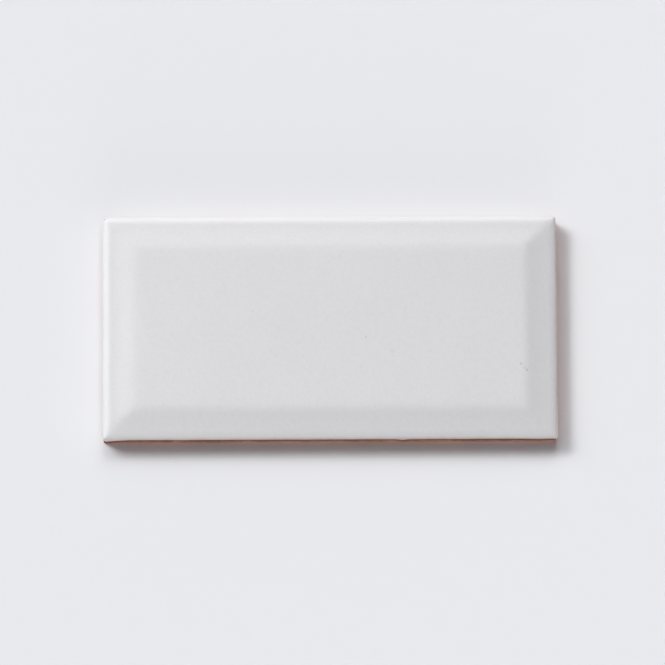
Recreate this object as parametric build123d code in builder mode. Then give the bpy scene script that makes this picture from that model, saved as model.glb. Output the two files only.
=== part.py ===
from build123d import *
import math
import os

# Bevelled rectangular wall tile, pressed and fired in one piece, lying on its back.
# Millimetres. Origin: centre of the back, on the plane the tile lies on.
# +X along the long side, +Y along the short side, +Z out of the glazed face.

LENGTH = 150.0          # long side
WIDTH = 75.0            # short side
THICK = 9.5             # back to the flat of the face

CREST = 10.25           # outer side to the middle of the crest, in plan
CREST_R = 17.0          # soft turn between the flat and the bevel
BEVEL_IN = 12.5         # slope of the bevel where it leaves the crest, degrees
BEVEL_OUT = 8.5         # slope where it reaches the rim: the bevel is slightly hollow
ROLL_ANGLE = 30.0       # slope at the outer end of the rolled rim, degrees
ROLL_R = 7.0            # slow roll of the rim, below the bevel
EDGE_R = 0.8            # tight turn from the rolled rim into the upright side
CORNER_R = 1.0          # upright corners, in plan
BASE_BREAK = 0.4        # broken edge round the back

KEY_COLUMNS = 15        # shallow square keys pressed into the back
KEY_ROWS = 7
KEY_PITCH = 9.4
KEY_SIZE = 7.2
KEY_CORNER = 0.8
KEY_DEPTH = 0.5

# Rim of the section, worked down from the crest to the top of the upright side.
t_in = math.radians(BEVEL_IN)
t_out = math.radians(BEVEL_OUT)
t_roll = math.radians(ROLL_ANGLE)
edge_plan = EDGE_R * (1 - math.sin(t_roll))
edge_drop = EDGE_R * math.cos(t_roll)
roll_plan = ROLL_R * (math.sin(t_roll) - math.sin(t_out))
roll_drop = ROLL_R * (math.cos(t_out) - math.cos(t_roll))
rim_inset = edge_plan + roll_plan
crest_plan = CREST_R * math.sin(t_in)
crest_drop = CREST_R * (1 - math.cos(t_in))
crest_inset = CREST - crest_plan / 2
bevel_r = (crest_inset - rim_inset) / (math.sin(t_in) - math.sin(t_out))
bevel_drop = bevel_r * (math.cos(t_out) - math.cos(t_in))
side_z = THICK - crest_drop - bevel_drop - roll_drop - edge_drop

with BuildPart() as tile:
    # The same section runs along both sides; where the two cross they mitre at the corners.
    for plane, half, run, how in (
        (Plane.XZ, LENGTH / 2, WIDTH / 2, Mode.ADD),
        (Plane.YZ, WIDTH / 2, LENGTH / 2, Mode.INTERSECT),
    ):
        with BuildSketch(plane):
            with BuildLine():
                foot = Line((half - BASE_BREAK, 0), (half, BASE_BREAK))
                side = Line(foot @ 1, (half, side_z))
                edge = CenterArc((half - EDGE_R, side_z), EDGE_R, 0, 90 - ROLL_ANGLE)
                rolled = CenterArc(
                    (
                        half - edge_plan - ROLL_R * math.sin(t_roll),
                        side_z + edge_drop - ROLL_R * math.cos(t_roll),
                    ),
                    ROLL_R,
                    90 - ROLL_ANGLE,
                    ROLL_ANGLE - BEVEL_OUT,
                )
                bevel = CenterArc(
                    (
                        half - rim_inset + bevel_r * math.sin(t_out),
                        side_z + edge_drop + roll_drop + bevel_r * math.cos(t_out),
                    ),
                    bevel_r,
                    270 - BEVEL_OUT,
                    BEVEL_OUT - BEVEL_IN,
                )
                crest = CenterArc(
                    (half - crest_inset - crest_plan, THICK - CREST_R),
                    CREST_R,
                    90 - BEVEL_IN,
                    BEVEL_IN,
                )
                Line(crest @ 1, (0, THICK))
                Line((0, 0), foot @ 0)
                mirror(about=Plane.YZ)
            make_face()
        extrude(amount=run, both=True, mode=how)

    # Upright corners.
    with BuildSketch(Plane.XY):
        RectangleRounded(LENGTH, WIDTH, CORNER_R)
    extrude(amount=THICK, mode=Mode.INTERSECT)

    # Keyed back: a regular grid of shallow pockets between flat lands.
    with BuildSketch(Plane.XY):
        with GridLocations(KEY_PITCH, KEY_PITCH, KEY_COLUMNS, KEY_ROWS):
            RectangleRounded(KEY_SIZE, KEY_SIZE, KEY_CORNER)
    extrude(amount=KEY_DEPTH, mode=Mode.SUBTRACT)

tile.part.label = "tile"

os.makedirs("parts", exist_ok=True)
export_step(tile.part, "parts/tile.step")
print("upright side to z = %.3f mm, volume %.1f mm3" % (side_z, tile.part.volume))
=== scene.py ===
import math

import bpy
import numpy as np
from mathutils import Matrix, Vector


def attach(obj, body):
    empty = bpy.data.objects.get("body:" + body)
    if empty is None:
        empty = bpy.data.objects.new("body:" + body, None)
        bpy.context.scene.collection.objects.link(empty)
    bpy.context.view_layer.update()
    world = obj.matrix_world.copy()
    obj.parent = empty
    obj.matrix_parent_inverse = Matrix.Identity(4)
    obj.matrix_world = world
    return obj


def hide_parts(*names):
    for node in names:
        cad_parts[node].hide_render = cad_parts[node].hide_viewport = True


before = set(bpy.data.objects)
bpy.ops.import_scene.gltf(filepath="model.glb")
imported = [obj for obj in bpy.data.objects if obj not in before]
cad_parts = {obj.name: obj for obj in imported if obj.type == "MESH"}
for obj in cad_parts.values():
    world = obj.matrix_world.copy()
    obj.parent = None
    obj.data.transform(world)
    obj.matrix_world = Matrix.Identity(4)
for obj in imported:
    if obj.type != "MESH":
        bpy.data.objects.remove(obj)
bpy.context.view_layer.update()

MM = 0.001

# ---------------------------------------------------------------------------
# Sizes of the tile, in millimetres: the section of the part, and the finish.
# ---------------------------------------------------------------------------
HALF_L, HALF_W, THICK = 75.0, 37.5, 9.5
CREST, CREST_R = 10.25, 17.0
BEVEL_IN, BEVEL_OUT = math.radians(12.5), math.radians(8.5)
ROLL_T, ROLL_R = math.radians(30.0), 7.0
EDGE_R = 0.8
CORNER_R = 1.0

EDGE_PLAN = EDGE_R * (1 - math.sin(ROLL_T))
EDGE_DROP = EDGE_R * math.cos(ROLL_T)
ROLL_PLAN = ROLL_R * (math.sin(ROLL_T) - math.sin(BEVEL_OUT))
ROLL_DROP = ROLL_R * (math.cos(BEVEL_OUT) - math.cos(ROLL_T))
RIM = EDGE_PLAN + ROLL_PLAN
CREST_PLAN = CREST_R * math.sin(BEVEL_IN)
CREST_DROP = CREST_R * (1 - math.cos(BEVEL_IN))
CREST_IN = CREST - CREST_PLAN / 2
BEVEL_R = (CREST_IN - RIM) / (math.sin(BEVEL_IN) - math.sin(BEVEL_OUT))
BEVEL_DROP = BEVEL_R * (math.cos(BEVEL_OUT) - math.cos(BEVEL_IN))
SIDE_Z = THICK - CREST_DROP - BEVEL_DROP - ROLL_DROP - EDGE_DROP

KEY_COLUMNS, KEY_ROWS, KEY_PITCH, KEY_HALF, KEY_DEPTH = 15, 7, 9.4, 3.6, 0.5

GLAZE_LINE = 6.36        # height on the side where the glaze stops, along the front and the right
GLAZE_RUN = 4.2          # how much lower it stops along the back and the left, where it ran thicker
GLAZE_LIP = 0.22         # how far the glaze stands proud of the body there
BASE_ROUND = 0.42        # worn arris round the back
SURFACE_EASE = 0.03      # the face undulates by this much, below its full height

MARKS = (                # specks on the face, a scuff at the right crest and a nick at one corner: x, y, radius, strength
    (-25.5, 5.3, 0.60, 0.14), (11.8, -3.5, 0.50, 0.30), (20.6, -8.4, 1.10, 0.12), (-8.8, -10.1, 0.50, 0.10),
    (63.0, -12.8, 0.52, 0.45), (63.9, -13.8, 0.40, 0.18), (64.4, -14.3, 0.42, 0.25), (65.0, -14.9, 0.55, 0.42),
    (-74.5, 37.0, 0.60, 0.50),
)


def section(d):
    """Height of the glazed surface at a plan distance d inside the side."""
    d = np.asarray(d, float)
    z = np.full(d.shape, THICK)
    c = CREST_IN + CREST_PLAN
    m = d < c
    z[m] = THICK - CREST_R + np.sqrt(CREST_R**2 - (c - d[m]) ** 2)
    z_rim = SIDE_Z + EDGE_DROP + ROLL_DROP
    u = RIM - BEVEL_R * math.sin(BEVEL_OUT)
    m = d < CREST_IN
    z[m] = z_rim + BEVEL_R * math.cos(BEVEL_OUT) - np.sqrt(BEVEL_R**2 - (d[m] - u) ** 2)
    u = EDGE_PLAN + ROLL_R * math.sin(ROLL_T)
    m = d < RIM
    z[m] = SIDE_Z + EDGE_DROP - ROLL_R * math.cos(ROLL_T) + np.sqrt(ROLL_R**2 - (u - d[m]) ** 2)
    return z


def corner_radius(d):
    """The contours turn the corner tightly at the side, softly on the bevel and tighter again at the crest."""
    return (CORNER_R - EDGE_PLAN) + 1.8 * smooth(EDGE_PLAN, 2.4, d) * (1 - 0.45 * smooth(5.0, 10.0, d))


def inside(x, y):
    """Plan distance inside the side, on contours that round the mitred corners."""
    lo = np.full(x.shape, EDGE_PLAN)
    hi = np.full(x.shape, HALF_W)
    ax, ay = np.abs(x), np.abs(y)
    for _ in range(46):
        d = (lo + hi) / 2
        r = np.minimum(corner_radius(d), HALF_W - d)
        qx = ax - (HALF_L - d - r)
        qy = ay - (HALF_W - d - r)
        out = np.minimum(np.maximum(qx, qy), 0) + np.hypot(np.maximum(qx, 0), np.maximum(qy, 0)) - r
        deeper = out < 0
        lo = np.where(deeper, d, lo)
        hi = np.where(deeper, hi, d)
    return (lo + hi) / 2


def smooth(a, b, v):
    t = np.clip((v - a) / (b - a), 0, 1)
    return t * t * (3 - 2 * t)


rng = np.random.default_rng(75150)


def ripple(x, y, waves, shortest, longest):
    """A sum of gentle waves in all directions, from -1 to 1 or so."""
    h = np.zeros(x.shape)
    for _ in range(waves):
        k = 2 * math.pi / (shortest * (longest / shortest) ** rng.random())
        way = rng.random() * 2 * math.pi
        h += np.sin(k * (x * math.cos(way) + y * math.sin(way)) + rng.random() * 2 * math.pi)
    return h / math.sqrt(waves) / 1.5


def wander(s, around, low, high, waves):
    """A wave along the outline that closes on itself, from -1 to 1 or so."""
    h = np.zeros(s.shape)
    for _ in range(waves):
        n = round(around / (low * (high / low) ** rng.random()))
        h += np.sin(2 * math.pi * n * s / around + rng.random() * 2 * math.pi)
    return h / math.sqrt(waves) / 1.5


# ---------------------------------------------------------------------------
# The tile's mesh: one closed skin. A grid over the face, rings down the side
# and a grid under the back share one set of lines.
# ---------------------------------------------------------------------------
def grid_lines(half, keys):
    """Lines across one direction, close at the rim and at the walls of the keys."""
    near = [0.0, 0.09, 0.2, 0.34, 0.5, 0.7, 0.92, 1.16, 1.42, 1.7, 2.0, 2.32, 2.66, 3.05, 3.5, 4.0, 4.55]
    field = []
    for k in range(keys):
        c = (k - (keys - 1) / 2) * KEY_PITCH
        for o in (-3.88, -3.66, -3.5, -3.3, -2.55, -1.8, -0.9, 0.0, 0.9, 1.8, 2.55, 3.3, 3.5, 3.66, 3.88):
            field.append(c + o)
        if k < keys - 1:
            field.append(c + KEY_PITCH / 2)
    edge = half - EDGE_PLAN
    lines = [-edge + n for n in near] + field + [edge - n for n in near]
    return np.array(sorted(lines))


gx, gy = grid_lines(HALF_L, KEY_COLUMNS), grid_lines(HALF_W, KEY_ROWS)
nx, ny = len(gx), len(gy)


def rounded(inset):
    """The grid's lines fitted to the outline at this inset, its corners turned onto their arc."""
    a, b = HALF_L - inset, HALF_W - inset
    r = CORNER_R - inset
    fx, fy = a / (HALF_L - EDGE_PLAN), b / (HALF_W - EDGE_PLAN)
    x, y = np.meshgrid(gx * fx, gy * fy, indexing="ij")
    p, q = (np.abs(x) - (a - r)) / r, (np.abs(y) - (b - r)) / r
    m = (p > 0) & (q > 0)
    pm, qm = np.clip(p[m], 0, 1), np.clip(q[m], 0, 1)
    x2, y2 = x.copy(), y.copy()
    x2[m] = np.sign(x[m]) * (a - r + r * pm * np.sqrt(1 - qm * qm / 2))
    y2[m] = np.sign(y[m]) * (b - r + r * qm * np.sqrt(1 - pm * pm / 2))
    return x2, y2


ring = (
    [(i, 0) for i in range(nx - 1)]
    + [(nx - 1, j) for j in range(ny - 1)]
    + [(i, ny - 1) for i in range(nx - 1, 0, -1)]
    + [(0, j) for j in range(ny - 1, 0, -1)]
)
ri = np.array([p[0] for p in ring])
rj = np.array([p[1] for p in ring])
n_ring = len(ring)

# Face
tx, ty = rounded(EDGE_PLAN)
deep = inside(tx, ty)
deep[ri, rj] = EDGE_PLAN
tz = section(deep)
calm = smooth(EDGE_PLAN, 4.0, deep)
tz += calm * (
    0.016 * ripple(tx, ty, 9, 24, 70)
    + 0.0035 * ripple(tx, ty, 16, 6, 13)
    - SURFACE_EASE
    - 0.03 * (tx / HALF_L) ** 2
    - 0.015 * (ty / HALF_W) ** 2
)
tz = np.minimum(tz, THICK)

# Side
px, py = tx[ri, rj], ty[ri, rj]
r_in = CORNER_R - EDGE_PLAN
cx = np.clip(px, -(HALF_L - EDGE_PLAN - r_in), HALF_L - EDGE_PLAN - r_in)
cy = np.clip(py, -(HALF_W - EDGE_PLAN - r_in), HALF_W - EDGE_PLAN - r_in)
vx, vy = px - cx, py - cy
vn = np.hypot(vx, vy)
vx, vy = vx / vn, vy / vn
step = np.hypot(np.roll(px, -1) - px, np.roll(py, -1) - py)
along = np.concatenate([[0], np.cumsum(step)[:-1]])
around = float(step.sum())

# 1 along the front and the right, 0 along the back and the left
lean = smooth(-0.12, 0.12, px / HALF_L - py / HALF_W)
wavy = 0.035 * (0.5 + 0.5 * np.clip(wander(along, around, 30, 90, 6), -1, 1))
line = (
    GLAZE_LINE - GLAZE_RUN * (1 - lean) * (1 - 0.24 * smooth(0.2, 0.8, vy))
    + (0.10 + 0.22 * (1 - lean)) * wander(along, around, 14, 40, 7)
    + 0.05 * wander(along, around, 3.5, 8, 12)
)
for _ in range(13):  # short runs of glaze over the side
    at, far, wide = rng.random() * around, 0.25 + 0.75 * rng.random() ** 2, 1.1 + 1.6 * rng.random()
    gap = np.abs((along - at + around / 2) % around - around / 2)
    line -= far * np.exp(-((gap / wide) ** 2) * 1.4)
line = np.clip(line, 1.4, SIDE_Z - 0.07)
body_wave = 0.02 * wander(along, around, 2.5, 6, 14)
chips = np.clip(wander(along, around, 2.2, 5.5, 16) - 0.75, 0, 1)
foot = BASE_ROUND * (1 + 0.25 * wander(along, around, 4, 11, 10)) + 0.35 * chips
foot = np.clip(foot, 0.22, 0.85)

rings = []  # (inset, height), from the rim down
for t in (45, 60, 75, 90):
    t = math.radians(t)
    rings.append((EDGE_R * (1 - math.sin(t)) + wavy * (math.sin(t) - 0.5) * 2, np.full(n_ring, SIDE_Z + EDGE_R * math.cos(t))))
for e, up in ((0.004, 0.06), (0.03, 0.03), (0.07, 0.01), (0.12, 0.0), (0.18, -0.005)):
    rings.append((wavy + e, line + up))
N_GLAZE = len(rings)
top_body = line - 0.05
for k, f in enumerate((0.0, 0.06, 0.16, 0.3, 0.46, 0.62, 0.78, 0.9, 1.0)):
    z = top_body + f * (foot + 0.02 - top_body)
    inset = GLAZE_LIP + (0.07 - GLAZE_LIP) * f + wavy * (1 - f) + body_wave * min(1, 6 * f)
    rings.append((np.maximum(inset, 0.0), z))
base_in = 0.07 + np.maximum(body_wave, -0.05)
for a in (30, 60):
    a = math.radians(a)
    rings.append((base_in + foot * (1 - math.cos(a)), foot * (1 - math.sin(a))))

# Back: flat lands, a worn arris and a grid of shallow keys
bx, by = rounded(EDGE_PLAN)


def key_mask(v, keys):
    k = np.clip(np.round(v / KEY_PITCH + (keys - 1) / 2), 0, keys - 1) - (keys - 1) / 2
    return 1 - smooth(KEY_HALF - 0.28, KEY_HALF + 0.06, np.abs(v - k * KEY_PITCH))


bz = KEY_DEPTH * key_mask(bx, KEY_COLUMNS) * key_mask(by, KEY_ROWS)
bz += 0.012 * (0.5 + 0.5 * np.clip(ripple(bx, by, 10, 5, 18), -1, 1)) * (bz > 0)
last_in = base_in + foot
bx[ri, rj] = px + vx * (EDGE_PLAN - last_in)
by[ri, rj] = py + vy * (EDGE_PLAN - last_in)
bz[ri, rj] = 0.0

top_id = np.arange(nx * ny).reshape(nx, ny)
ring_id = [top_id[ri, rj]]
co = [np.stack([tx.ravel(), ty.ravel(), tz.ravel()], 1)]
# the warm tint of thin glaze at the rim is kept to the front and right; the back and left rims are left white, a
# painted highlight where the light falls on them
tight = smooth(-0.12, 0.12, tx / HALF_L - ty / HALF_W) * (1 - 0.35 * smooth(0.5, 0.9, (np.abs(tx) - HALF_L + HALF_W) / HALF_W))
thin = [(tight * smooth(1.15, -0.5, deep)).ravel()]
below = [np.full(nx * ny, -2.0)]
# painted light, above 0: painted shade on the bevels, and darker glaze down the back and left sides to damp the light
# they throw on the floor; below 0: a painted highlight along the back and left rims
back_rim = 0.25 + 0.75 * smooth(-1.5, 1.5, (HALF_L - np.abs(tx)) - (HALF_W - ty))
rim_highlight = back_rim * smooth(0.12, -0.12, tx / HALF_L - ty / HALF_W) * smooth(2.3, 0.6, deep)
# painted shade on the bevels, less the painted highlight at the back and left rims
painted_light = [(smooth(1.0, 2.6, deep) * (1 - smooth(8.2, 11.5, deep)) - rim_highlight).ravel()]
count = nx * ny
for inset, z in rings:
    off = EDGE_PLAN - inset
    co.append(np.stack([px + vx * off, py + vy * off, z], 1))
    over = tight[ri, rj] * smooth(1.15, -0.5, inset - (SIDE_Z + EDGE_DROP - z))
    thin.append(np.maximum(over, 0.85 * smooth(-0.9, 0.0, line - z)))
    below.append(line - z + (1.2 + 1.0 * lean) * smooth(0.8, 0.2, -vy))
    # on the side: the painted highlight at the back and left rims, and darker glaze below it down the back and left
    # sides
    painted_light.append(-rim_highlight[ri, rj] * smooth(SIDE_Z - 1.5, SIDE_Z, z) + 8 * (1 - lean) * smooth(SIDE_Z, SIDE_Z - 2, z))
    ring_id.append(count + np.arange(n_ring))
    count += n_ring
back_id = count + np.arange(nx * ny).reshape(nx, ny)
co.append(np.stack([bx.ravel(), by.ravel(), bz.ravel()], 1))
thin.append(np.ones(nx * ny))
below.append(np.full(nx * ny, 6.0))
painted_light.append(np.zeros(nx * ny))
ring_id.append(back_id[ri, rj])
co = np.concatenate(co)

faces, zone = [], []
q = np.stack([top_id[:-1, :-1], top_id[1:, :-1], top_id[1:, 1:], top_id[:-1, 1:]], -1).reshape(-1, 4)
faces.append(q)
zone.append(np.zeros(len(q), int))
for k in range(len(ring_id) - 1):
    u, w = ring_id[k], ring_id[k + 1]
    q = np.stack([u, w, np.roll(w, -1), np.roll(u, -1)], -1)
    faces.append(q)
    zone.append(np.full(n_ring, 1 if k < N_GLAZE else 2))
q = np.stack([back_id[:-1, :-1], back_id[:-1, 1:], back_id[1:, 1:], back_id[1:, :-1]], -1).reshape(-1, 4)
faces.append(q)
zone.append(np.full(len(q), 3))
n_top = (nx - 1) * (ny - 1)
faces, zone = np.concatenate(faces), np.concatenate(zone)

me = bpy.data.meshes.new("tile")
me.from_pydata((co * MM).tolist(), [], faces.tolist())
me.polygons.foreach_set("material_index", (zone >= 2).astype(np.int32))
me.polygons.foreach_set("use_smooth", np.ones(len(faces), bool))
for name, values in (("thin", thin), ("below", below), ("painted_light", painted_light)):
    me.attributes.new(name, "FLOAT", "POINT").data.foreach_set("value", np.concatenate(values).astype(np.float32))

# A map for the finish: the face, four strips of side and the back, each laid flat.
uv = np.zeros((len(faces), 4, 2))
sx = 0.99 / (2 * HALF_L)
m = zone == 0
uv[m] = np.stack([0.005 + (co[faces[m], 0] + HALF_L) * sx, 0.5 + (co[faces[m], 1] + HALF_W) * sx], -1)
m = zone == 3
sb = 0.312 / (2 * HALF_W)
uv[m] = np.stack([0.005 + (co[faces[m], 0] + HALF_L) * sb, 0.005 + (HALF_W - co[faces[m], 1]) * sb], -1)
mid_x, mid_y = (vx + np.roll(vx, -1)) / 2, (vy + np.roll(vy, -1)) / 2
strip = np.where(np.abs(mid_y) >= np.abs(mid_x), np.where(mid_y < 0, 0, 1), np.where(mid_x > 0, 2, 3))
drop = [np.zeros(n_ring)]
for k in range(len(ring_id) - 1):
    drop.append(drop[-1] + np.linalg.norm(co[ring_id[k + 1]] - co[ring_id[k]], axis=1))
for k in range(len(ring_id) - 1):
    rows = n_top + k * n_ring + np.arange(n_ring)
    for corner, (row, shift) in enumerate(((k, 0), (k + 1, 0), (k + 1, -1), (k, -1))):
        at = co[np.roll(ring_id[row], shift)]
        d = np.roll(drop[row], shift)
        u = np.where(strip == 0, at[:, 0] + HALF_L, 0)
        u = np.where(strip == 1, HALF_L - at[:, 0], u)
        u = np.where(strip == 2, at[:, 1] + HALF_W, u)
        u = np.where(strip == 3, HALF_W - at[:, 1] + 2 * HALF_W + 0.6, u)
        v = np.where(strip == 0, 0.494, np.where(strip == 1, 0.436, 0.378))
        uv[rows, corner, 0] = 0.005 + u * sx * 0.995
        uv[rows, corner, 1] = v - d * sx
me.uv_layers.new(name="OFBake").data.foreach_set("uv", uv.astype(np.float32).ravel())
me.validate()
me.update()

tile = bpy.data.objects.new("glazed_tile", me)
bpy.context.scene.collection.objects.link(tile)


# ---------------------------------------------------------------------------
# Finish
# ---------------------------------------------------------------------------
class Nodes:
    """Short names for building a node material."""

    def __init__(self, name):
        self.mat = bpy.data.materials.new(name)
        self.mat.use_nodes = True
        self.tree = self.mat.node_tree
        self.tree.nodes.clear()
        self.out = self.tree.nodes.new("ShaderNodeOutputMaterial")
        self.bsdf = self.tree.nodes.new("ShaderNodeBsdfPrincipled")
        self.tree.links.new(self.bsdf.outputs[0], self.out.inputs[0])
        self.where = self.tree.nodes.new("ShaderNodeTexCoord").outputs["Object"]

    def link(self, a, b):
        self.tree.links.new(a, b)

    def noise(self, scale, detail=2.0, rough=0.5, distort=0.0):
        n = self.tree.nodes.new("ShaderNodeTexNoise")
        n.inputs["Scale"].default_value = scale
        n.inputs["Detail"].default_value = detail
        n.inputs["Roughness"].default_value = rough
        n.inputs["Distortion"].default_value = distort
        self.link(self.where, n.inputs["Vector"])
        return n.outputs["Fac"]

    def cells(self, scale, out="Distance"):
        n = self.tree.nodes.new("ShaderNodeTexVoronoi")
        n.inputs["Scale"].default_value = scale
        self.link(self.where, n.inputs["Vector"])
        return n.outputs[out]

    def attribute(self, name):
        n = self.tree.nodes.new("ShaderNodeAttribute")
        n.attribute_name = name
        return n.outputs["Fac"]

    def span(self, value, a, b, c=0.0, d=1.0, kind="SMOOTHSTEP"):
        n = self.tree.nodes.new("ShaderNodeMapRange")
        n.interpolation_type = kind
        self.link(value, n.inputs[0])
        for i, v in enumerate((a, b, c, d), 1):
            n.inputs[i].default_value = v
        return n.outputs[0]

    def math(self, kind, a, b=None):
        n = self.tree.nodes.new("ShaderNodeMath")
        n.operation = kind
        for i, v in enumerate((a, b)):
            if v is None:
                continue
            if isinstance(v, (int, float)):
                n.inputs[i].default_value = v
            else:
                self.link(v, n.inputs[i])
        return n.outputs[0]

    def mix(self, factor, a, b):
        n = self.tree.nodes.new("ShaderNodeMix")
        n.data_type = "RGBA"
        if isinstance(factor, (int, float)):
            n.inputs[0].default_value = factor
        else:
            self.link(factor, n.inputs[0])
        for i, v in ((6, a), (7, b)):
            if isinstance(v, tuple):
                n.inputs[i].default_value = (*v, 1.0)
            else:
                self.link(v, n.inputs[i])
        return n.outputs[2]

    def bump(self, height, far, strength=1.0, after=None):
        n = self.tree.nodes.new("ShaderNodeBump")
        n.inputs["Strength"].default_value = strength
        n.inputs["Distance"].default_value = far
        self.link(height, n.inputs["Height"])
        if after is not None:
            self.link(after, n.inputs["Normal"])
        return n.outputs["Normal"]

    def spot(self, x, y, r):
        """1 at a point of the face, in mm, falling to 0 at r."""
        n = self.tree.nodes.new("ShaderNodeVectorMath")
        n.operation = "DISTANCE"
        self.link(self.where, n.inputs[0])
        z = section(min(HALF_L - abs(x), HALF_W - abs(y))) - SURFACE_EASE
        n.inputs[1].default_value = (x * MM, y * MM, float(z) * MM)
        return self.span(n.outputs["Value"], 0.35 * r * MM, r * MM, 1.0, 0.0)


# White glaze: even, satin, faintly clouded, with an orange-peel skin. It thins and warms where it rolls over the rim,
# mostly along the front and right, and has a few pinholes and a scuff. Painted into its colour: shade on the bevels,
# a highlight on the back and left rims, and darker glaze down the back and left sides.
g = Nodes("white_glaze")
cloud = g.noise(42, 3, 0.55)
colour = g.mix(cloud, (0.664, 0.664, 0.680), (0.692, 0.691, 0.706))
mottle = g.span(g.noise(900, 3, 0.65, 0.5), 0.40, 0.72, 0.0, 0.075)
painted_light = g.attribute("painted_light")
# fine mottle plus painted shade: darker bevels, and much darker glaze down the back and left sides
shade = g.math("ADD", mottle, g.span(painted_light, 0.0, 8.0, 0.0, 0.75, "LINEAR"))
colour = g.mix(shade, colour, (0.40, 0.40, 0.408))
# painted highlight: the back and left rims are whitened
colour = g.mix(g.span(painted_light, 0.0, -1.0, 0.0, 0.5, "LINEAR"), colour, (0.80, 0.80, 0.815))
bare = g.math("MULTIPLY", g.attribute("thin"), g.span(g.noise(260, 2, 0.6), 0.25, 0.8, 0.6, 1.0))
colour = g.mix(g.math("MULTIPLY", bare, 0.9), colour, (0.58, 0.41, 0.345))
pin = g.span(g.cells(72), 0.008, 0.017, 1.0, 0.0)
pits = g.math("MULTIPLY", pin, 0.5)
for x, y, r, strength in MARKS:
    pits = g.math("MAXIMUM", pits, g.math("MULTIPLY", g.spot(x, y, r), strength))
colour = g.mix(pits, colour, (0.30, 0.285, 0.275))
g.link(colour, g.bsdf.inputs["Base Color"])
g.link(g.span(g.noise(210, 3, 0.6), 0.3, 0.7, 0.33, 0.43), g.bsdf.inputs["Roughness"])
g.bsdf.inputs["Specular IOR Level"].default_value = 0.4
peel = g.bump(g.noise(720, 2, 0.55, 0.4), 0.000045)
peel = g.bump(g.noise(260, 2, 0.5), 0.00005, 1.0, peel)
peel = g.bump(g.math("SUBTRACT", 1.0, pits), 0.00006, 1.0, peel)
g.link(peel, g.bsdf.inputs["Normal"])

# Red earthenware body: porous and dusty, flecked with grog, smeared with glaze under the rim, and darkened by painted
# shade in a band just under the glaze.
e = Nodes("red_earthenware")
colour = e.mix(e.span(e.noise(95, 4, 0.6), 0.3, 0.72), (0.330, 0.148, 0.102), (0.440, 0.218, 0.154))
under = e.attribute("below")
edge = e.math("ADD", under, e.span(e.noise(170, 4, 0.65), 0.25, 0.75, -0.9, 0.9))
# painted shade: a dark band on the body just under the glaze line, standing for the shade under the glaze lip
shade_under_glaze = e.math("MULTIPLY", e.span(edge, 4.6, 2.1), e.span(e.noise(420, 3, 0.6), 0.28, 0.6, 0.82, 1.0))
colour = e.mix(e.math("MULTIPLY", shade_under_glaze, 0.92), colour, (0.072, 0.031, 0.023))
sand = e.math("MULTIPLY", e.span(e.noise(1100, 3, 0.7), 0.46, 0.72, 0.0, 0.7), e.span(shade_under_glaze, 0.0, 1.0, 1.0, 0.3))
colour = e.mix(sand, colour, (0.545, 0.310, 0.225))
grog = e.math("MULTIPLY", e.span(e.cells(820), 0.10, 0.24, 1.0, 0.0), e.span(e.noise(300, 1), 0.5, 0.62))
colour = e.mix(e.math("MULTIPLY", grog, 0.75), colour, (0.180, 0.078, 0.054))
pale = e.math("MULTIPLY", e.span(e.cells(610), 0.06, 0.16, 1.0, 0.0), e.span(e.noise(210, 1), 0.55, 0.66))
colour = e.mix(e.math("MULTIPLY", pale, 0.7), colour, (0.60, 0.45, 0.36))
smear = e.math("MULTIPLY", e.span(under, 1.3, 0.0), e.span(e.noise(330, 4, 0.65, 0.6), 0.60, 0.74))
colour = e.mix(e.math("MULTIPLY", smear, 0.6), colour, (0.70, 0.62, 0.57))
e.link(colour, e.bsdf.inputs["Base Color"])
e.link(e.span(e.noise(500, 2), 0.3, 0.7, 0.82, 0.95), e.bsdf.inputs["Roughness"])
e.bsdf.inputs["Specular IOR Level"].default_value = 0.25
grain = e.bump(e.noise(1500, 4, 0.65), 0.00016)
grain = e.bump(e.span(e.cells(760), 0.05, 0.3), 0.00007, 1.0, grain)
e.link(grain, e.bsdf.inputs["Normal"])

me.materials.append(g.mat)
me.materials.append(e.mat)

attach(tile, "root")
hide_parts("tile")

# ---------------------------------------------------------------------------
# Floor, light and camera
# ---------------------------------------------------------------------------
fm = bpy.data.meshes.new("floor")
R = 40.0
fm.from_pydata([(-R, -R, 0), (R, -R, 0), (R, R, 0), (-R, R, 0)], [], [(0, 1, 2, 3)])
floor = bpy.data.objects.new("floor", fm)
bpy.context.scene.collection.objects.link(floor)
f = Nodes("pale_floor")
f.bsdf.inputs["Base Color"].default_value = (0.890, 0.899, 0.934, 1)
f.bsdf.inputs["Roughness"].default_value = 1.0
f.bsdf.inputs["Specular IOR Level"].default_value = 0.0
fm.materials.append(f.mat)


NEAR_LAMP = 0.600

alone = bpy.data.collections.new("tile_lights")
alone.objects.link(tile)


def soft_light(name, azimuth, elevation, across, strength):
    """A large soft source far away, so many degrees across."""
    a, h = math.radians(azimuth), math.radians(elevation)
    data = bpy.data.lights.new(name, "SUN")
    data.angle = math.radians(across)
    data.energy = strength
    lamp = bpy.data.objects.new(name, data)
    toward = Vector((math.cos(a) * math.cos(h), math.sin(a) * math.cos(h), math.sin(h)))
    lamp.rotation_euler = toward.to_track_quat("Z", "Y").to_euler()
    bpy.context.scene.collection.objects.link(lamp)
    return lamp


# A broad soft key from the upper left, a weak fill from the right and a low one from the front.
for row in (
    ("key_a", 150, 45, 25, 0.743), ("key_b", 90, 45, 25, 0.567), ("key_c", 135, 45, 12, 0.532),
    ("key_d", 150, 30, 25, 0.385), ("key_e", 150, 45, 12, 0.343), ("key_f", 120, 45, 12, 0.241),
    ("top_a", 90, 60, 25, 0.193), ("top_b", 180, 60, 25, 0.160), ("top_c", 120, 60, 12, 0.112),
    ("back", 90, 30, 25, 0.133), ("fill", 60, 45, 25, 0.155),
    ("front_a", 270, 8, 25, 0.741), ("front_b", 300, 15, 25, 0.226),
):
    soft_light(*row)

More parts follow.
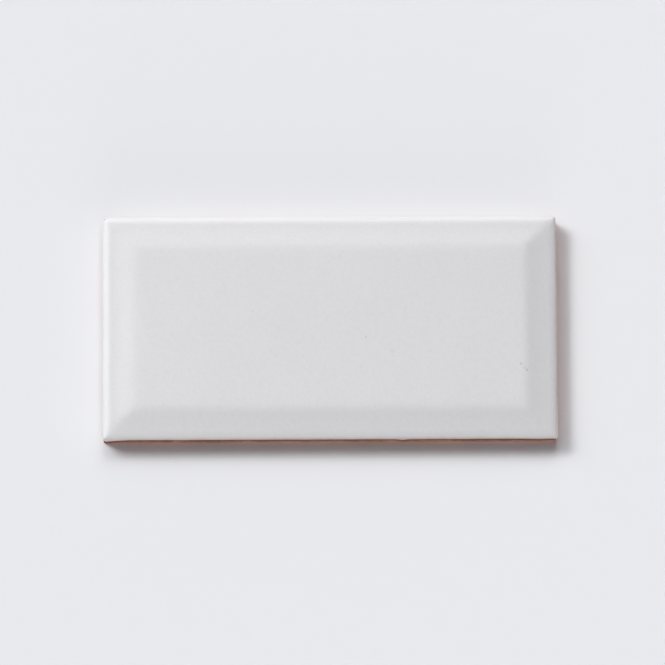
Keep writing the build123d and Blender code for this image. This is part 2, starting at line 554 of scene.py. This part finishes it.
# What the pale ground throws back up at the sides, on the tile alone.
for row in (("ground_right", 0, -60, 25, 2.10), ("ground_front", 270, -50, 25, 0.30)):
    lamp = soft_light(*row)
    lamp.light_linking.receiver_collection = alone
    lamp.light_linking.blocker_collection = alone

# A small lamp near the left end, on the tile alone: the face falls off in tone towards the right.
near = bpy.data.lights.new("near_lamp", "POINT")
near.shadow_soft_size = 0.08
near.energy = NEAR_LAMP
lamp = bpy.data.objects.new("near_lamp", near)
lamp.location = (-0.15, 0.02, 0.30)
lamp.visible_glossy = False
bpy.context.scene.collection.objects.link(lamp)
lamp.light_linking.receiver_collection = alone

WALLS, OVERHEAD = 0.8, 0.05
# The room: dim overhead, with pale walls low down all round.
world = bpy.data.worlds.new("studio")
bpy.context.scene.world = world
world.use_nodes = True
room = world.node_tree
way = room.nodes.new("ShaderNodeTexCoord")
part = room.nodes.new("ShaderNodeSeparateXYZ")
wall = room.nodes.new("ShaderNodeMapRange")
wall.interpolation_type = "SMOOTHSTEP"
for i, v in enumerate((0.06, 0.24, WALLS, OVERHEAD), 1):
    wall.inputs[i].default_value = v
room.links.new(way.outputs["Generated"], part.inputs[0])
room.links.new(part.outputs["Z"], wall.inputs[0])
room.links.new(wall.outputs[0], room.nodes["Background"].inputs["Strength"])
room.nodes["Background"].inputs["Color"].default_value = (1, 1, 1, 1)

cam = bpy.data.cameras.new("camera")
cam.sensor_width = 36.0
cam.lens = 553.98
cam.clip_start, cam.clip_end = 0.05, 200.0
camera = bpy.data.objects.new("camera", cam)
bpy.context.scene.collection.objects.link(camera)
target = Vector((0.888, -1.433, 6.5)) * MM
toward = Vector((-math.tan(math.radians(0.5)), -math.tan(math.radians(12.0)), 1.0)).normalized()
right = (-toward).cross(Vector((0, 1, 0))).normalized()
up = right.cross(-toward)
roll = math.radians(-0.327)
right, up = math.cos(roll) * right + math.sin(roll) * up, -math.sin(roll) * right + math.cos(roll) * up
camera.matrix_world = Matrix.Translation(target + toward * 3.383) @ Matrix((right, up, toward)).transposed().to_4x4()
bpy.context.scene.camera = camera

view = bpy.context.scene.view_settings
view.view_transform = "Standard"
view.look = "None"
view.exposure = 0.0
view.gamma = 1.0
